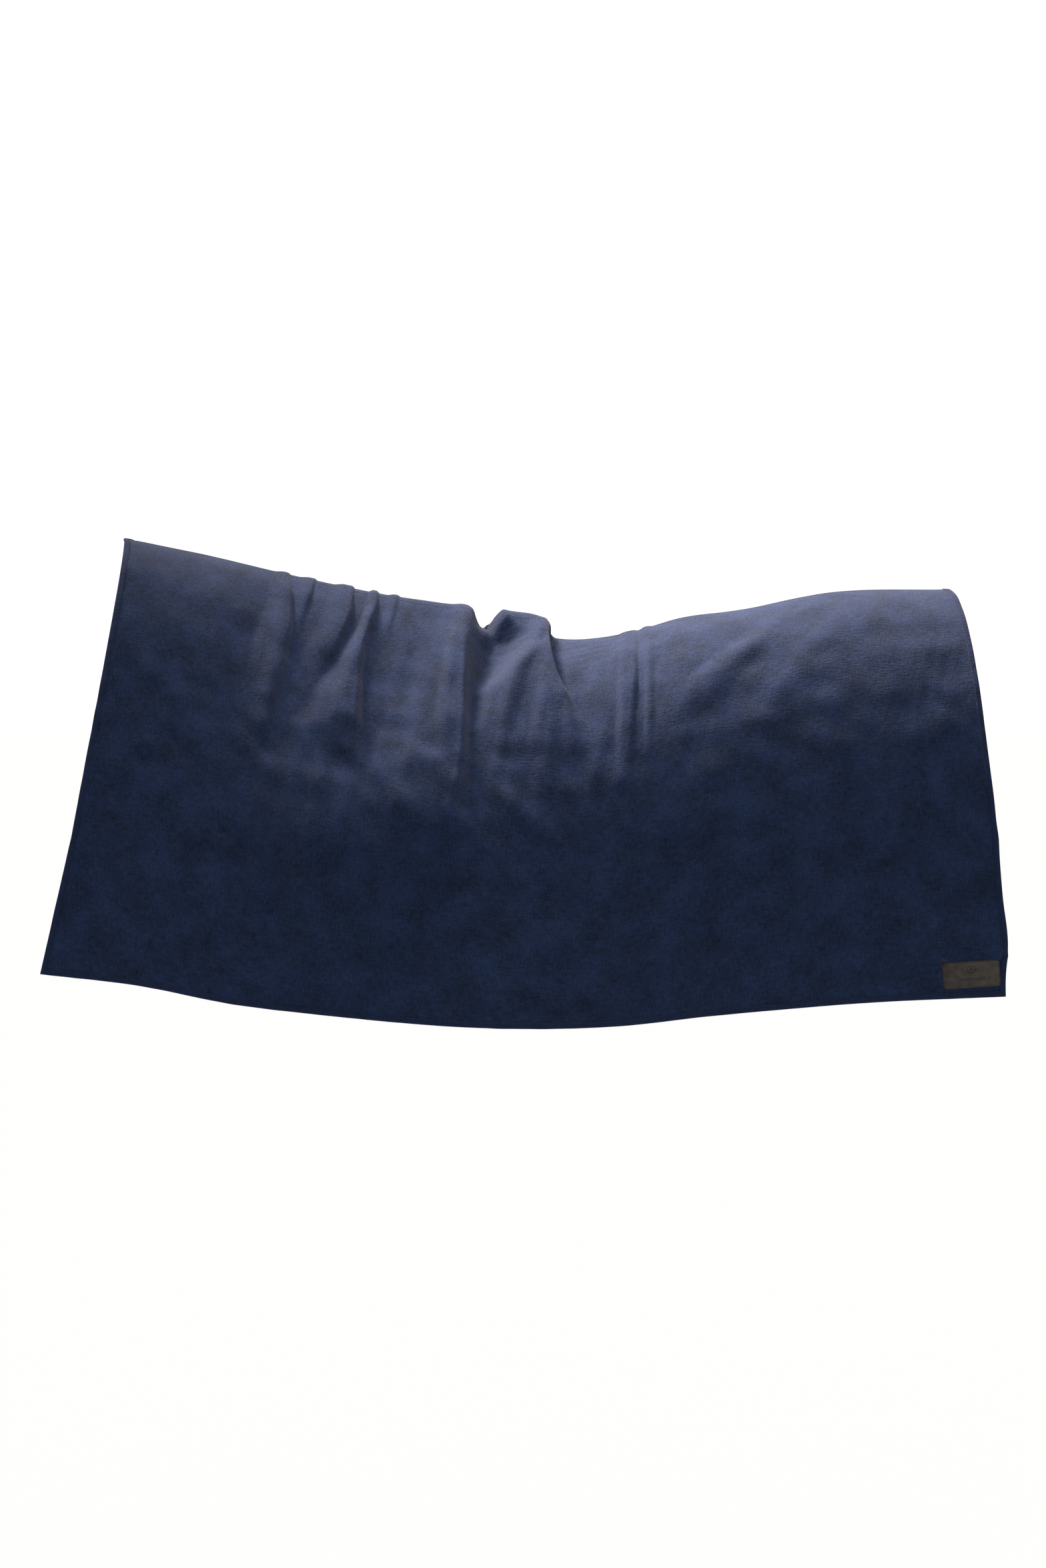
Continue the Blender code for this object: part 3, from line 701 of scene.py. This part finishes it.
def length_setting(name, text, default, low=0.0, high=5.0):
    return bpy.props.FloatProperty(
        name=name, description=text, default=default, min=low, max=high, unit="LENGTH", precision=4
    )


def colour_setting(name, text, code):
    return bpy.props.FloatVectorProperty(
        name=name, description=text, default=linear(code), min=0, max=1, size=3, subtype="COLOR"
    )


class RugSizes(bpy.types.PropertyGroup):
    """The rug's sizes."""

    length: length_setting("Length", "The cloth's length along the horse, as cut", 1.610)
    spine_gather: length_setting("Spine gather", "How much of it the folds at the spine take up", 0.161)
    fold_line_slack: length_setting("Fold line slack", "How much of it the slack there takes up", 0.076)
    hem_slack: length_setting("Hem slack", "How much of it the slack at the hem takes up", 0.012)
    half_back: length_setting("Half width of the back", "From the spine out to the fold line", 0.290)
    fold_drop: length_setting("Fold line drop", "From the origin down to the fold line", 0.335)
    skirt_drop: length_setting("Skirt drop", "From the fold line down to the lowest point of the hem", 0.317)
    skirt_flare: bpy.props.FloatProperty(
        name="Skirt flare",
        description="How far the skirt leans out",
        default=math.radians(4.5),
        min=0,
        max=math.radians(30),
        subtype="ANGLE",
    )
    seam_gap: length_setting("Seam gap", "Between the two sides, at the seam along the spine", 0.0004)
    shell_thickness: length_setting("Shell thickness", "Of the outer cloth", 0.0018)
    lining_thickness: length_setting("Lining thickness", "Of the lining", 0.0018)
    clearance: length_setting("Clearance", "Between layers that are sewn together", 0.0003)
    binding_width: length_setting("Binding width", "How far the tape reaches in from the edge", 0.009)
    binding_thickness: length_setting("Binding thickness", "Of the tape", 0.0008)
    webbing_half_width: length_setting("Webbing half width", "From the spine to the webbing's edge", 0.020)
    webbing_thickness: length_setting("Webbing thickness", "Of the strip under the spine", 0.0010)
    label_width: length_setting("Label width", "Along the hem", 0.096)
    label_height: length_setting("Label height", "Across the hem", 0.0445)
    label_thickness: length_setting("Label thickness", "Of the leather", 0.0016)
    label_corner: length_setting("Label corner", "Radius of the label's corners", 0.006)
    label_groove_inset: length_setting("Label groove inset", "From the rim to the border groove", 0.0022)
    label_press: length_setting("Label press", "How deep the mark is pressed in", 0.0006)
    label_stitch_length: length_setting("Label stitch length", "From one stitch to the next", 0.0036)
    label_thread_radius: length_setting("Label thread radius", "Of the label's stitches", 0.00032)
    label_inset: length_setting("Label inset", "From the binding to the label", 0.0006)
    label_puff: length_setting("Label puff", "How far the cloth stands up round the label", 0.0045)
    label_lift: length_setting("Label lift", "How much higher it sits than the binding's edge", 0.0068)
    label_shift: length_setting("Label shift", "How far it sits over the binding's edge", 0.0028)
    label_tilt: bpy.props.FloatProperty(
        name="Label tilt",
        description="How far it is sewn on askew",
        default=math.radians(1.7),
        subtype="ANGLE",
    )
    binding_stitch_inset: length_setting("Stitch inset", "From the tape's inner edge to its stitches", 0.0022)
    webbing_stitch_inset: length_setting("Webbing stitch inset", "From its edge to its stitches", 0.003)
    stitch_length: length_setting("Stitch length", "From one stitch to the next", 0.0045)
    thread_radius: length_setting("Thread radius", "Of the topstitching", 0.00035)
    wrinkle_height: length_setting("Wrinkle height", "Of the small wrinkles all over", 0.0010)
    rear_kick: length_setting("Rear kick", "How far the rear edge stands out above the label", 0.0075)
    line_height: length_setting("Line height", "Of the fine lines across the back behind the roll", 0.0004)
    line_spacing: length_setting("Line spacing", "From one of those lines to the next", 0.021)
    slack_height: length_setting("Slack height", "Of the dents where the back turns into the flank", 0.0016)
    hem_wave: length_setting("Hem wave", "Of the slack waves along the hem", 0.006)
    fold_height: bpy.props.FloatProperty(
        name="Fold height",
        description="How far the folds stand out, as a share of the full height",
        default=1.0,
    )


class RugColours(bpy.types.PropertyGroup):
    """The rug's colours."""

    shell_dark: colour_setting("Shell, dark", "The outer cloth where its nap lies away", "#040d1b")
    shell_light: colour_setting("Shell, light", "The outer cloth where its nap lies open", "#13213c")
    sheen: colour_setting("Bloom", "The pale bloom of the brushed nap", "#bcbccf")
    lining_dark: colour_setting("Lining, dark", "The lining", "#141b2c")
    lining_light: colour_setting("Lining, light", "The lining's lighter threads", "#1f2739")
    binding_dark: colour_setting("Binding, dark", "The tape", "#0c1528")
    binding_light: colour_setting("Binding, light", "The tape's lighter threads", "#131d35")
    # The webbing: painted shade between its ribs, and a painted highlight on them.
    webbing_dark_painted_shade: colour_setting("Webbing, dark", "Between the ribs", "#10151f")
    webbing_light_painted_highlight: colour_setting("Webbing, light", "On the ribs", "#232a38")
    leather_dark: colour_setting("Leather", "The label", "#100e0c")
    # The pale leather where it is scuffed, and also where painted sheen and painted highlights lie on the
    # label.
    leather_worn_and_painted_light: colour_setting("Leather, worn", "The label where it is rubbed", "#453f3b")
    thread: colour_setting("Thread", "The topstitching", "#0b1222")
    label_thread: colour_setting("Label thread", "The label's stitches", "#3b342e")
    floor: colour_setting("Floor", "The studio floor", "#f4f4f2")


# ---------------------------------------------------------------------------------------------- pieces


def edge_frame(grid, side):
    """The path round a side's free edges, from the spine down the front, along the hem and up the rear,
    with the way out of the cloth and the cloth's normal at each point. At the two corners the way out is
    the sum of those of the two edges, so that the tape is mitred."""
    normal = surface_normals(grid, side)
    rows, columns = grid.shape[1], grid.shape[0]
    forward = unit(grid[0] - grid[1])
    down = unit(grid[:, -1] - grid[:, -2])
    rearward = unit(grid[-1] - grid[-2])
    path = np.concatenate([grid[0, :-1], grid[:, -1], grid[-1, -2::-1]])
    out = np.concatenate([forward[:-1], down, rearward[-2::-1]])
    out[rows - 1] = forward[-1] + down[0]
    out[rows + columns - 2] = rearward[-1] + down[-1]
    face = np.concatenate([normal[0, :-1], normal[:, -1], normal[-1, -2::-1]])
    return path, out, face


def shell_face(s):
    """From the middle of the cloth to the outer face of the shell."""
    return s.clearance / 2 + s.shell_thickness


def add_cloth(s, c, layer):
    """One layer of cloth on both sides, each one piece from the spine to the hem, across the fold line."""
    if layer == "shell":
        low, high = s.clearance / 2, shell_face(s)
        look = cloth_material("navy_brushed_wool_woven", c.shell_dark, c.shell_light, 0.07, c.sheen)
        columns, rows = 430, 114
    else:
        low, high = -s.clearance / 2 - s.lining_thickness, -s.clearance / 2
        look = cloth_material("navy_cotton_lining_woven", c.lining_dark, c.lining_light, 0.05, c.sheen, 0.6)
        columns, rows = 250, 110
    share, down = cloth_places(columns, rows)
    for side in (NEAR, OFF):
        grid, flat = drape(s, side, share, down)
        normal = level_at_spine(surface_normals(grid, side))
        grid[:, 0, 1] = side * s.seam_gap / 2
        name = f"{WORD[side]}_{layer}"
        points, faces, uv = slab(grid, normal, low, high, flat)
        piece = make_piece(name, points, faces, look, uv)
        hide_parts(f"{WORD[side]}_back_{layer}", f"{WORD[side]}_skirt_{layer}")
        bend(piece)


def bend(piece):
    """The piece's placement is baked into its mesh."""
    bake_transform(piece)


def tape_section(s):
    """The tape's section, a rounded U round the cloth's edge: out of the cloth, and along its normal."""
    gap, wall, width = s.clearance, s.binding_thickness, s.binding_width
    outer = shell_face(s) + gap
    inner = -(s.clearance / 2 + s.lining_thickness + gap)
    reach, bevel = 0.0012, 0.0008
    turn = np.linspace(math.pi / 2, -math.pi / 2, 7)[:, None]
    middle = np.array([[gap - reach, (outer + inner) / 2]])
    half = (outer - inner) / 2
    round_out = middle + np.concatenate([(reach + wall) * np.cos(turn), (half + wall) * np.sin(turn)], axis=1)
    round_in = middle + np.concatenate([reach * np.cos(turn), half * np.sin(turn)], axis=1)[::-1]
    edge, halfway = -width, -width / 2
    above = [(edge, outer), (edge, outer + 0.6 * wall), (edge + bevel, outer + wall), (halfway, outer + wall)]
    below = [(halfway, inner - wall), (edge + bevel, inner - wall), (edge, inner - 0.6 * wall), (edge, inner)]
    return np.concatenate([above, round_out, below, [(halfway, inner)], round_in, [(halfway, outer)]])


def add_binding(s, c):
    """The tape round each side's free edges, and the stitches that sew it on near its inner edge."""
    look = cloth_material("navy_cotton_binding_tape", c.binding_dark, c.binding_light, 0.04, c.sheen, 0.8)
    section = tape_section(s)
    tape_face = shell_face(s) + s.clearance + s.binding_thickness
    stitch_place = (s.binding_stitch_inset - s.binding_width, tape_face)
    share, down = cloth_places(330, 146)
    for side in (NEAR, OFF):
        grid, _ = drape(s, side, share, down)
        path, out, normal = edge_frame(grid, side)
        rings, faces = swept(path, out, normal, section)
        run = run_along(path)
        uv = np.stack(np.broadcast_arrays(run[:, None], run_along(section)[None]), axis=-1)
        piece = make_piece(f"{WORD[side]}_binding", rings, faces, look, uv)
        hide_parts("front_binding", "rear_binding", f"{WORD[side]}_skirt_binding")
        bend(piece)
        stitches(s, c, f"{WORD[side]}_binding_stitches", path, out, normal, stitch_place)


def beans(middle, up, radius, lift):
    """Stitches: a closed bean laid along each row of five places, with the way out of the cloth there, and
    the bean's radius and its lift at each of the five."""
    rings, sides = 5, 6
    ahead = unit(np.gradient(middle, axis=1))
    across = np.cross(up, ahead)
    angle = np.linspace(0, 2 * math.pi, sides, endpoint=False)[:, None]
    ring = across[:, :, None] * np.cos(angle) + up[:, :, None] * np.sin(angle)
    points = middle[:, :, None] + up[:, :, None] * lift[:, None, None] + ring * radius[:, None, None]
    last = (rings - 1) * sides
    first_cap = np.array([[0, 5, 4, 3], [0, 3, 2, 1]])
    last_cap = last + np.array([[0, 1, 2, 3], [0, 3, 4, 5]])
    one = np.concatenate([quads(rings, sides, closed=True), first_cap, last_cap])[:, ::-1]
    return points, (one[None] + rings * sides * np.arange(len(middle))[:, None, None]).reshape(-1, 4)


def stitches(s, c, name, path, out, normal, place):
    """Topstitching, one bean for each stitch, laid along a path at a place in its section. A bean swells from
    each end to the middle as a sine, and dips into the cloth at both ends."""
    line = path + out * place[0] + normal * place[1]
    run = run_along(line)
    centres = np.arange(s.stitch_length / 2, run[-1], s.stitch_length)
    at = centres[:, None] + np.linspace(-0.36, 0.36, 5) * s.stitch_length
    swell = np.sin(np.linspace(0.12, math.pi - 0.12, 5))
    radius = s.thread_radius * (0.35 + 0.65 * swell)
    lift = s.thread_radius * (swell - 0.35)
    points, faces = beans(read_along(line, run, at), unit(read_along(normal, run, at)), radius, lift)
    thread = "navy_polyester_thread"
    look = bpy.data.materials.get(thread) or thread_material(thread, c.thread)
    piece = make_piece(name, points, faces, look)
    bend(piece)


def webbing_places(columns):
    """Shares along at which the webbing has a point. It ends just inside the binding."""
    share, _ = cloth_places(columns, 2)
    return share[(share > 0.009) & (share < 0.991)]


def add_webbing(s, c):
    """The webbing under the spine: a strip across both sides, just inside the lining."""
    look = webbing_material("navy_nylon_webbing", c.webbing_dark_painted_shade, c.webbing_light_painted_highlight)
    share = webbing_places(240)
    distances = np.linspace(0, s.webbing_half_width, 5)
    near, near_flat = spine_rows(s, NEAR, share, distances)
    off, off_flat = spine_rows(s, OFF, share, distances)
    grid = np.concatenate([near[:, :0:-1], off], axis=1)
    flat = np.concatenate([near_flat[:, :0:-1], off_flat], axis=1)
    normal = surface_normals(grid, OFF)
    high = -(s.clearance / 2 + s.lining_thickness + s.clearance)
    points, faces, uv = slab(grid, normal, high - s.webbing_thickness, high, flat)
    piece = make_piece("spine_webbing_strip", points, faces, look, uv)
    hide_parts("spine_webbing")
    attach(piece, "back")


def rounded_inset(x, y, width, height, radius):
    """How far inside a rectangle with round corners each point is, negative outside."""
    dx, dy = np.abs(x) - (width / 2 - radius), np.abs(y) - (height / 2 - radius)
    outside = np.hypot(np.maximum(dx, 0), np.maximum(dy, 0)) + np.minimum(np.maximum(dx, dy), 0)
    return radius - outside


def label_frame(s):
    """The label's centre on the shell, and its along, up and outward directions. Its long edge follows the
    hem, and it fits into the corner inside the binding."""
    share = np.array([1 - (s.label_inset + s.binding_width + s.label_width) / s.length, 1.0])
    _, top, hem = guide_lines(s, NEAR, share)
    along = unit(hem[1] - hem[0])
    out = np.array([0, NEAR * math.cos(s.skirt_flare), math.sin(s.skirt_flare)])
    up = np.cross(out, along)
    edge = unit(top[1] - hem[1])
    inset = s.binding_width + s.label_inset
    centre = hem[1] + edge * (inset + s.label_lift + s.label_height / 2) / float(edge @ up)
    centre = centre - along * (inset - s.label_shift + s.label_width / 2)
    turn, across = math.cos(s.label_tilt), math.sin(s.label_tilt)
    return centre, along * turn + up * across, up * turn - along * across, out


def pressed_mark(x, y):
    """How deep the label's mark is pressed, 0 to 1: a plain ring round a lozenge, over a bar with a hollow
    middle. The ring is a quarter wider than it is high."""
    from_ring = np.hypot(x / 1.25, y - 0.008)
    ring = bell(from_ring - 0.0054, 0.0009)
    lozenge = smooth((0.0026 - np.abs(x) / 1.25 - np.abs(y - 0.008)) / 0.0008)
    from_bar = np.abs(y + 0.0085)
    bar = smooth((0.0225 - np.abs(x)) / 0.0009) * smooth((0.0022 - from_bar) / 0.0009)
    bar = bar * (1 - 0.8 * smooth((0.0205 - np.abs(x)) / 0.0008) * smooth((0.0009 - from_bar) / 0.0007))
    return np.maximum.reduce([ring, lozenge, bar])


def label_wear_and_painted_light(s, x, y, inset, mark):
    """How pale the label is painted, 0 to 1: part real scuffing of the raised face, part painted light. A
    painted sheen makes it paler to the rear, and a painted highlight runs along the lower rim and on the mark's
    upper edges. Painted shade makes it darker round the rim, in the mark and, a little, in the groove."""
    # Painted shade round the rim: 0 within about 2 mm of it, 1 on the raised face inside.
    clear_of_rim_shade = smooth((inset - 0.0020) / 0.0006)
    # A painted highlight along the lower rim.
    lower_rim_highlight = smooth((0.002 - inset) / 0.001) * smooth((0.003 - y - s.label_height / 2) / 0.001)
    # A painted highlight on one side of the mark's relief.
    edges = np.clip(np.gradient(mark, axis=1), 0, 1)
    # A painted sheen growing towards the rear, over the raised face and the lower rim; part of it stands for
    # real scuffing of the raised face.
    rubbed_and_painted_light = (0.26 + 0.22 * x / s.label_width) * (clear_of_rim_shade + 1.2 * lower_rim_highlight)
    # Painted shade in the pressed mark.
    return np.clip(rubbed_and_painted_light - 0.40 * mark + 0.6 * edges, 0, 1)


def label_grid(s, columns, rows):
    """Places on the label. Those outside its round corners are drawn in towards the corner's centre."""
    w, h = s.label_width, s.label_height
    x, y = np.meshgrid(np.linspace(-w / 2, w / 2, columns), np.linspace(-h / 2, h / 2, rows), indexing="ij")
    cx = np.sign(x) * (w / 2 - s.label_corner)
    cy = np.sign(y) * (h / 2 - s.label_corner)
    corner = (np.abs(x) > np.abs(cx)) & (np.abs(y) > np.abs(cy))
    reach = np.maximum(np.abs(x - cx), np.abs(y - cy)) / np.maximum(np.hypot(x - cx, y - cy), 1e-9)
    return np.where(corner, cx + (x - cx) * reach, x), np.where(corner, cy + (y - cy) * reach, y)


def add_label(s, c):
    """The leather label. Its face is a height over its own rectangle: it rounds off at the rim, a border
    groove runs inside the rim, and the mark is pressed into the middle."""
    centre, along, up, out = label_frame(s)
    columns, rows = 240, 124
    x, y = label_grid(s, columns, rows)
    inset = rounded_inset(x, y, s.label_width, s.label_height, s.label_corner)
    rim_width = 0.0012
    round_rim = np.sqrt(np.clip(1 - (1 - np.clip(inset / rim_width, 0, 1)) ** 2, 0, 1))
    groove = bell(inset - s.label_groove_inset, 0.00045)
    mark = pressed_mark(x, y)
    top = s.label_thickness * (0.45 + 0.55 * round_rim)
    top = top - s.label_press * np.maximum(0.8 * groove, mark) + 0.00006 * ripple(x, y, 0.012, 5)
    base = shell_face(s) + s.clearance
    place = centre + x[..., None] * along + y[..., None] * up
    points = np.concatenate([place + out * (base + top)[..., None], place + out * base])
    count = columns * rows
    edge = rim(columns, rows)
    after = np.roll(edge, -1)
    plane = quads(columns, rows)
    sides = np.stack([edge, edge + count, after + count, after], axis=-1)
    faces = np.concatenate([plane, plane[:, ::-1] + count, sides])
    look = leather_material("dark_brown_leather_embossed", c.leather_dark, c.leather_worn_and_painted_light)
    piece = make_piece("leather_label", points, faces, look)
    # Scuffing, painted sheen, painted highlights and painted shade, as one attribute; the back face gets an
    # even 0.3.
    wear_and_painted_light = label_wear_and_painted_light(s, x, y, inset, mark).ravel()
    store = piece.data.attributes.new("wear_and_painted_light", "FLOAT", "POINT")
    store.data.foreach_set("value", np.concatenate([wear_and_painted_light, 0.3 + 0 * wear_and_painted_light]).astype(np.float32))
    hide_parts("label_patch")
    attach(piece, "near_skirt")


def add_label_stitches(s, c):
    """The label's own stitches, in the groove inside its rim."""
    centre, along, up, out = label_frame(s)
    radius = s.label_corner - s.label_groove_inset
    straight_w, straight_h = s.label_width / 2 - s.label_corner, s.label_height / 2 - s.label_corner
    corners = []
    for turn, (sx, sy) in enumerate(((1, 1), (-1, 1), (-1, -1), (1, -1))):
        angle = np.linspace(0, math.pi / 2, 8) + turn * math.pi / 2
        x = sx * straight_w + radius * np.cos(angle)
        y = sy * straight_h + radius * np.sin(angle)
        corners.append(np.stack([x, y], axis=-1))
    flat = np.concatenate(corners + [corners[0][:1]])
    seat = shell_face(s) + s.clearance + s.label_thickness - 0.0003
    loop = centre + flat[:, :1] * along + flat[:, 1:] * up + out * seat
    run = run_along(loop)
    count = int(round(run[-1] / s.label_stitch_length))
    centres = (np.arange(count) + 0.5) * run[-1] / count
    middle = read_along(loop, run, centres[:, None] + np.linspace(-0.0013, 0.0013, 5))
    swell = np.sin(np.linspace(0.2, math.pi - 0.2, 5))
    thread = s.label_thread_radius * (0.4 + 0.6 * swell)
    points, faces = beans(middle, np.broadcast_to(out, middle.shape), thread, 0.00025 * swell)
    look = thread_material("brown_waxed_thread", c.label_thread)
    piece = make_piece("label_stitches", points, faces, look)
    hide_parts("label_thread")
    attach(piece, "near_skirt")


def add_spine_stitches(s, c):
    """The two rows of topstitching that sew the webbing on, one on each side of the spine."""
    share = webbing_places(330)
    distances = np.linspace(0, s.webbing_half_width - s.webbing_stitch_inset, 5)
    for side in (NEAR, OFF):
        grid, _ = spine_rows(s, side, share, distances)
        normal = surface_normals(grid, side)
        path, out = grid[:, -1], 0 * grid[:, -1]
        stitches(s, c, f"{WORD[side]}_spine_stitches", path, out, normal[:, -1], (0, shell_face(s)))


def add_stage(c):
    """A pale floor below, a soft light behind the back and a weaker one overhead, and a white room."""
    scene = bpy.context.scene
    floor_z = CAD_BOX[0][2] - FLOOR_DROP
    corners = [(x * FLOOR_REACH, y * FLOOR_REACH, floor_z) for x, y in ((-1, -1), (1, -1), (1, 1), (-1, 1))]
    mesh = bpy.data.meshes.new("studio_floor")
    mesh.from_pydata(corners, [], [(0, 1, 2, 3)])
    mesh.materials.append(floor_material("white_matt_studio_paint", c.floor))
    floor = bpy.data.objects.new("studio_floor", mesh)
    scene.collection.objects.link(floor)
    room = bpy.data.worlds.new("white_room")
    scene.world = room
    room.use_nodes = True
    glow = room.node_tree.nodes["Background"]
    glow.inputs["Color"].default_value = (1, 1, 1, 1)
    glow.inputs["Strength"].default_value = 1.1
    for name, place, aim, size, power, spread, colour in (
        ("rear_softbox", (-1.3, 1.20, 3.2), (0.62, -0.1, 0.0), 1.3, 71, 38, (1.0, 0.87, 0.78)),
        ("overhead_softbox", (-0.1, -0.20, 3.4), (-0.1, -0.20, 0.0), 0.8, 5.5, 28, (1.0, 0.87, 0.80)),
    ):
        light = bpy.data.lights.new(name, "AREA")
        light.shape, light.size, light.energy = "DISK", size, power
        light.color = colour
        light.spread = math.radians(spread)
        lamp = bpy.data.objects.new(name, light)
        lamp.location = place
        lamp.rotation_euler = (Vector(aim) - Vector(place)).to_track_quat("-Z", "Y").to_euler()
        scene.collection.objects.link(lamp)


def add_camera():
    """The camera looks along +Y from a little above, 4 m from the near flank, with the rug centred."""
    lens = bpy.data.cameras.new("camera")
    lens.sensor_fit, lens.sensor_width, lens.lens = "AUTO", 36, 55.68
    lens.clip_start, lens.clip_end = 0.1, 200
    camera = bpy.data.objects.new("camera", lens)
    target = Vector((0, -0.300, -0.247))
    distance, tilt = 4.0, math.radians(5)
    camera.location = target + distance * Vector((0, -math.cos(tilt), math.sin(tilt)))
    camera.rotation_euler = (math.pi / 2 - tilt, 0, 0)
    bpy.context.scene.collection.objects.link(camera)
    bpy.context.scene.camera = camera


# ---------------------------------------------------------------------------------------------- operators


class RugOperator:
    """What every operator here shares."""

    bl_options = {"REGISTER", "UNDO"}

    def execute(self, context):
        self.build(context.scene.rug_sizes, context.scene.rug_colours)
        return {"FINISHED"}


class RUG_OT_stage(RugOperator, bpy.types.Operator):
    """Set up the camera, the floor and the light"""

    bl_idname = "rug.stage"
    bl_label = "Stage"

    def build(self, sizes, colours):
        add_camera()
        add_stage(colours)
        bpy.context.scene.view_settings.view_transform = "Standard"


class RUG_OT_shell(RugOperator, bpy.types.Operator):
    """Add the outer cloth"""

    bl_idname = "rug.shell"
    bl_label = "Shell"

    def build(self, sizes, colours):
        add_cloth(sizes, colours, "shell")


class RUG_OT_lining(RugOperator, bpy.types.Operator):
    """Add the lining"""

    bl_idname = "rug.lining"
    bl_label = "Lining"

    def build(self, sizes, colours):
        add_cloth(sizes, colours, "lining")


class RUG_OT_binding(RugOperator, bpy.types.Operator):
    """Add the binding round the edges, with its topstitching"""

    bl_idname = "rug.binding"
    bl_label = "Binding"

    def build(self, sizes, colours):
        add_binding(sizes, colours)


class RUG_OT_webbing(RugOperator, bpy.types.Operator):
    """Add the webbing under the spine, with its topstitching"""

    bl_idname = "rug.webbing"
    bl_label = "Spine webbing"

    def build(self, sizes, colours):
        add_webbing(sizes, colours)
        add_spine_stitches(sizes, colours)


class RUG_OT_label(RugOperator, bpy.types.Operator):
    """Add the leather label and its stitches"""

    bl_idname = "rug.label"
    bl_label = "Label"

    def build(self, sizes, colours):
        add_label(sizes, colours)
        add_label_stitches(sizes, colours)


class RUG_PT_panel(bpy.types.Panel):
    """The rug's pieces and settings"""

    bl_idname = "RUG_PT_panel"
    bl_label = "Draped horse rug"
    bl_space_type = "VIEW_3D"
    bl_region_type = "UI"
    bl_category = "Rug"

    def draw(self, context):
        for operator in OPERATORS:
            self.layout.operator(operator.bl_idname)
        for settings in (context.scene.rug_sizes, context.scene.rug_colours):
            box = self.layout.box()
            for name in settings.__annotations__:
                box.prop(settings, name)


OPERATORS = (RUG_OT_stage, RUG_OT_shell, RUG_OT_lining, RUG_OT_binding, RUG_OT_webbing, RUG_OT_label)
CLASSES = (RugSizes, RugColours, *OPERATORS, RUG_PT_panel)


def register():
    for each in CLASSES:
        bpy.utils.register_class(each)
    bpy.types.Scene.rug_sizes = bpy.props.PointerProperty(type=RugSizes)
    bpy.types.Scene.rug_colours = bpy.props.PointerProperty(type=RugColours)


def unregister():
    del bpy.types.Scene.rug_colours
    del bpy.types.Scene.rug_sizes
    for each in reversed(CLASSES):
        bpy.utils.unregister_class(each)


def main():
    register()
    bpy.ops.rug.stage()
    bpy.ops.rug.shell()
    bpy.ops.rug.lining()
    bpy.ops.rug.binding()
    bpy.ops.rug.webbing()
    bpy.ops.rug.label()


if __name__ == "__main__":
    main()
